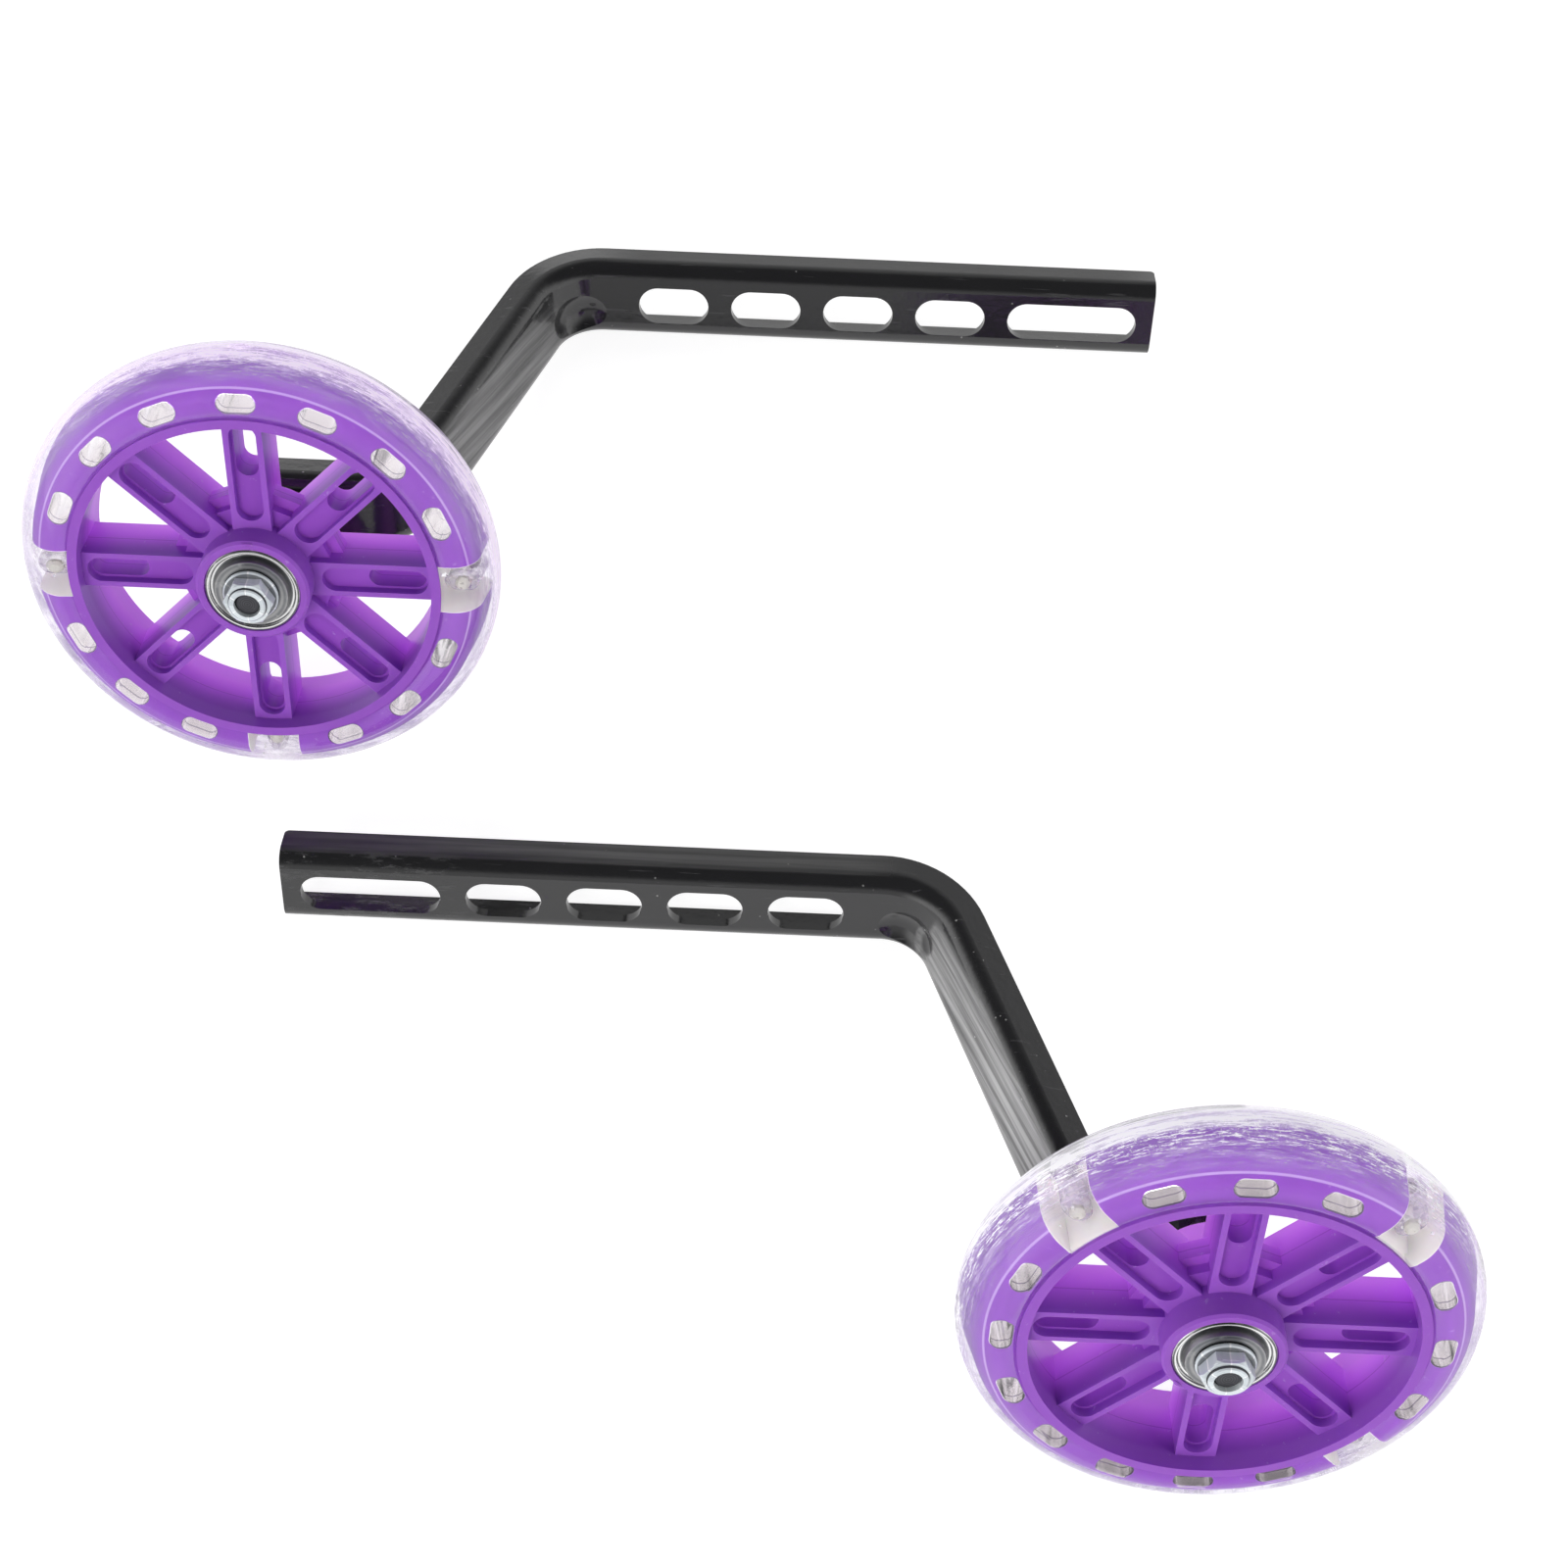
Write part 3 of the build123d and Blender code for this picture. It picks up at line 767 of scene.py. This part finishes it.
def clear_rubber(side):
    finish, start, shader = new_finish(side + "_clear_rubber")
    place = on_wheel(start, side)
    x, y, z = parts_of(place)
    radius = (x * x + y * y) ** 0.5
    angle = folded(y.math("ARCTAN2", x), 1, scuff_start[side])
    ripple = noise(place, 140.0, 2.0)
    clouds = noise(place, 60.0, 4.0, 0.6)
    on_tread = radius.rise(49.5 * mm, 54.5 * mm)
    crown = abs(z - crown_middle).fall(1.2 * mm, 4.2 * mm)
    filmed = abs(z - film_middle[side]).fall(2.2 * mm, 4.8 * mm)
    scuffs = rolled_out(start, angle, z, radius, 17.0, 2600.0, 60.0)
    scuffs = noise(scuffs, 1.0, 5.0, 0.7).rise(0.5, 0.63)
    dots = noise(place, 1500.0, 3.0, 0.75).rise(0.56, 0.66)
    worn = crown * (0.35 + clouds.rise(0.35, 0.55) * 0.65)
    mould_line = abs(z - mould_join).fall(0.1 * mm, 0.4 * mm) * on_tread
    strands = rolled_out(start, angle, z, radius, 5.0, 700.0, 700.0)
    strands = noise(strands, 1.0, 4.0, 0.65).rise(0.35, 0.7)
    marks = ((scuffs * 0.8 + dots * 0.4) * worn + scuffs * 0.2).math("MINIMUM", 0.85)
    film = filmed * (0.55 + strands * 0.45) * worn_film[side]
    # Darker and hazier towards the lower half of the wheel.
    lower_half = y.fall(-5.0 * mm, 25.0 * mm)
    haze = on_tread * (0.06 + strands * (0.36 + lower_half * 0.24) + marks + film) + mould_line * 0.35 + 0.02
    haze = haze.math("MINIMUM", 0.9)
    tone = clouds.between(colour(0.985, 0.975, 0.99), colour(0.96, 0.945, 0.975))
    tone = (on_tread * (0.3 + strands * 0.7)).between(tone, colour(0.8, 0.72, 0.89))
    feed(
        finish, shader,
        {
            "Base Color": tone, "Roughness": 0.03 + haze * 0.3,
            "Normal": bumped(ripple + mould_line * 0.5, 0.12, 0.4 * mm),
        },
        {"Transmission Weight": 1.0, "IOR": 1.12, "Coat Weight": 0.8, "Coat Roughness": 0.05},
    )
    lavender = lower_half.between(colour(0.74, 0.63, 0.87), colour(0.46, 0.39, 0.58))
    milk = (marks + film).rise(0.05, 0.4).between(lavender, film_tone[side])
    # Painted glow: the milky shader gives off a weak light, standing for light scattered through the
    # rubber.
    matt = start.node("ShaderNodeBsdfPrincipled", None, {
        "Base Color": milk, "Roughness": 0.6, "Emission Color": milk, "Emission Strength": 0.15,
    })
    clear = Wire(finish.node_tree, shader.outputs[0])
    both = start.node("ShaderNodeMixShader", None, {0: haze, 1: clear, 2: matt})
    output = finish.node_tree.nodes["Material Output"]
    finish.node_tree.links.new(both.socket, output.inputs["Surface"])
    return finish


rubber = {side: clear_rubber(side) for side in axle}
print("rubber:", len(rubber["right"].node_tree.nodes), "nodes")

# %% [markdown]
# The profile has the sizes of the solid tyre: a half round tread, and sides that draw in towards the
# rim. It runs once round, so that the ring is closed, and the tread gets enough points to stay smooth
# where light bends through it.

# %% Tyres
tyre_radius, tread_radius, tyre_shoulder = 55.0 * mm, 11.5 * mm, 1.1 * mm
seat_half, hidden_depth = 9.6 * mm, 0.5 * mm
tread_centre = tyre_radius - tread_radius
shoulder_angle = atan2((tread_radius ** 2 - tyre_shoulder ** 2) ** 0.5, tyre_shoulder)
shoulder_half = tread_radius * sin(shoulder_angle)
side_draw = (shoulder_half - seat_half) / (tread_centre + tyre_shoulder - rim_radius)
tread_steps, tyre_segments = 72, 288


def tyre_profile():
    turns = [shoulder_angle * (2 * n / tread_steps - 1) for n in range(tread_steps + 1)]
    points = [(tread_centre + tread_radius * cos(t), tread_radius * sin(t)) for t in turns]
    deep, deep_half = rim_radius - hidden_depth, seat_half - hidden_depth * side_draw
    inside = [(rim_radius, seat_half), (deep, deep_half), (deep, 0.0)]
    inside += [(deep, -deep_half), (rim_radius, -seat_half)]
    mesh = bpy.data.meshes.new("tyre_profile")
    mesh.from_pydata([(radius, 0.0, height) for radius, height in points + inside], [], [])
    return mesh


def make_tyre(side):
    profile = tyre_profile()
    sizes = {"Profile points": len(profile.vertices), "Segments": tyre_segments, "Finish": rubber[side]}
    tyre = grown(side + "_clear_tyre", turned_ring, profile, sizes)
    tyre.data.transform(wheel_matrix[side])
    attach(tyre, side + "_wheel")
    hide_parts(side + "_tyre")
    return tyre


tyres = {side: make_tyre(side) for side in axle}
print("tyres:", {side: len(tyre.data.polygons) for side, tyre in tyres.items()})

# %% [markdown]
# Air was caught round the lights when the rubber was poured, and small bubbles hang there. Placed by
# hand they would look like a pattern, so a second tree scatters them: each window's middle is a point,
# the point is copied, every copy is moved by a random step with a fixed seed, and a small ball of its
# own size stands on it.

# %% A tree that scatters bubbles
def bubble_tree():
    tree = bpy.data.node_groups.new("bubble_cloud", "GeometryNodeTree")
    sockets = (
        ("Places", "INPUT", "NodeSocketGeometry"), ("Count", "INPUT", "NodeSocketInt"),
        ("Spread", "INPUT", "NodeSocketVector"), ("Smallest", "INPUT", "NodeSocketFloat"),
        ("Largest", "INPUT", "NodeSocketFloat"), ("Seed", "INPUT", "NodeSocketInt"),
        ("Finish", "INPUT", "NodeSocketMaterial"), ("Bubbles", "OUTPUT", "NodeSocketGeometry"),
    )
    for name, way, kind in sockets:
        tree.interface.new_socket(name, in_out=way, socket_type=kind)
    given = tree.nodes.new("NodeGroupInput")
    inputs = (Wire(tree, given.outputs[n]) for n in range(7))
    places, count, spread, smallest, largest, seed, finish = inputs
    start = Wire(tree)
    back = start.node("ShaderNodeVectorMath", {"operation": "SCALE"}, {0: spread, "Scale": -1.0})
    points = start.node("GeometryNodeMeshToPoints", None, {"Mesh": places})
    copies = start.node(
        "GeometryNodeDuplicateElements", {"domain": "POINT"}, {"Geometry": points, "Amount": count})
    step = start.node(
        "FunctionNodeRandomValue", {"data_type": "FLOAT_VECTOR"},
        {"Min": back, "Max": spread, "Seed": seed})
    moved = start.node("GeometryNodeSetPosition", None, {"Geometry": copies, "Offset": step})
    size = start.node(
        "FunctionNodeRandomValue", {"data_type": "FLOAT"}, {2: smallest, 3: largest, "Seed": seed}, 1)
    ball = start.node("GeometryNodeMeshIcoSphere", None, {"Radius": 1.0, "Subdivisions": 2})
    smooth = start.node("GeometryNodeSetShadeSmooth", None, {"Geometry": ball})
    placed = start.node(
        "GeometryNodeInstanceOnPoints", None, {"Points": moved, "Instance": smooth, "Scale": size})
    single = start.node("GeometryNodeRealizeInstances", None, {"Geometry": placed})
    done = start.node("GeometryNodeSetMaterial", None, {"Geometry": single, "Material": finish})
    tree.links.new(done.socket, tree.nodes.new("NodeGroupOutput").inputs[0])
    return tree


bubble_cloud = bubble_tree()
print("tree:", bubble_cloud.name, len(bubble_cloud.nodes), "nodes")

# %% [markdown]
# A bubble is a thin film round air, so its finish is half clear and smooth. The windows lie at the
# other three quarter turns from the gate, and each wheel has its own seed.

# %% Bubbles
def bubble_finish(side):
    finish, start, shader = new_finish(side + "_bubble")
    film = noise(on_wheel(start, side), 2500.0, 2.0)
    tone = film.between(colour(0.72, 0.7, 0.74), colour(0.95, 0.94, 0.93))
    links = {"Base Color": tone, "Roughness": 0.05 + film * 0.1, "Alpha": 0.3 + film * 0.4}
    feed(finish, shader, links)
    return finish


window_middle = 47.5 * mm
bubble_seed = {"right": 7, "left": 12}


def make_bubbles(side):
    degrees = sorted((gate_degrees[side] + turn) % 360 for turn in (90, 180, 270))
    turns = [radians(angle) for angle in degrees]
    middles = bpy.data.meshes.new("window_middles")
    middles.from_pydata([(cos(t) * window_middle, sin(t) * window_middle, 0.0) for t in turns], [], [])
    sizes = {
        "Count": 16, "Spread": (3.6 * mm, 3.6 * mm, 7.5 * mm), "Smallest": 0.12 * mm,
        "Largest": 0.42 * mm, "Seed": bubble_seed[side], "Finish": bubble_finish(side),
    }
    bubbles = grown(side + "_bubbles", bubble_cloud, middles, sizes)
    bubbles.data.transform(wheel_matrix[side])
    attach(bubbles, side + "_wheel")
    return bubbles


bubbles = {side: make_bubbles(side) for side in axle}
print("bubbles:", {side: len(piece.data.polygons) for side, piece in bubbles.items()})

# %% [markdown]
# Where the rubber and the plastic ran into their moulds, each left a torn nub: one on the tread and
# one on the edge of the hub. A nub is a small turned drop, made with the tree of the tyre, then
# stretched along the edge and stood on the surface by a matrix.

# %% Gate nubs
nub_outline = (
    (0.0, 1.0), (0.35, 0.93), (0.5, 0.62), (0.62, 0.7),
    (0.8, 0.42), (1.0, 0.0), (0.9, -0.8), (0.0, -0.9),
)
tread_top, hub_edge, hub_front, nub_segments = 54.9 * mm, 12.3 * mm, 12.9 * mm, 24


def nub_profile(width, height):
    mesh = bpy.data.meshes.new("nub_profile")
    mesh.from_pydata([(r * width, 0.0, h * height) for r, h in nub_outline], [], [])
    return mesh


def make_nub(side, name, spot, outward, width, height, stretch, finish):
    """A nub at a spot in wheel coordinates, standing along outward, stretched round the wheel."""
    profile = nub_profile(width, height)
    sizes = {"Profile points": len(profile.vertices), "Segments": nub_segments, "Finish": finish}
    nub = grown(side + name, turned_ring, profile, sizes)
    axis = Vector(outward).normalized()
    along = Vector((-sin(gate_angle[side]), cos(gate_angle[side]), 0.0))
    aside = axis.cross(along)
    stand = Matrix((along * stretch, aside, axis)).transposed().to_4x4()
    nub.data.transform(wheel_matrix[side] @ Matrix.Translation(Vector(spot)) @ stand)
    face_outside(nub.data)
    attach(nub, side + "_wheel")
    return nub


nubs = []
for side in axle:
    out = Vector((cos(gate_angle[side]), sin(gate_angle[side]), 0.0))
    front = Vector((0.0, 0.0, 1.0))
    nubs.append(make_nub(
        side, "_tread_nub", out * tread_top, out,
        width=1.1 * mm, height=0.7 * mm, stretch=2.6, finish=rubber[side]))
    nubs.append(make_nub(
        side, "_hub_nub", out * hub_edge + front * hub_front, out + front,
        width=0.5 * mm, height=0.5 * mm, stretch=3.0, finish=violet[side]))
print("nubs:", [nub.name for nub in nubs])
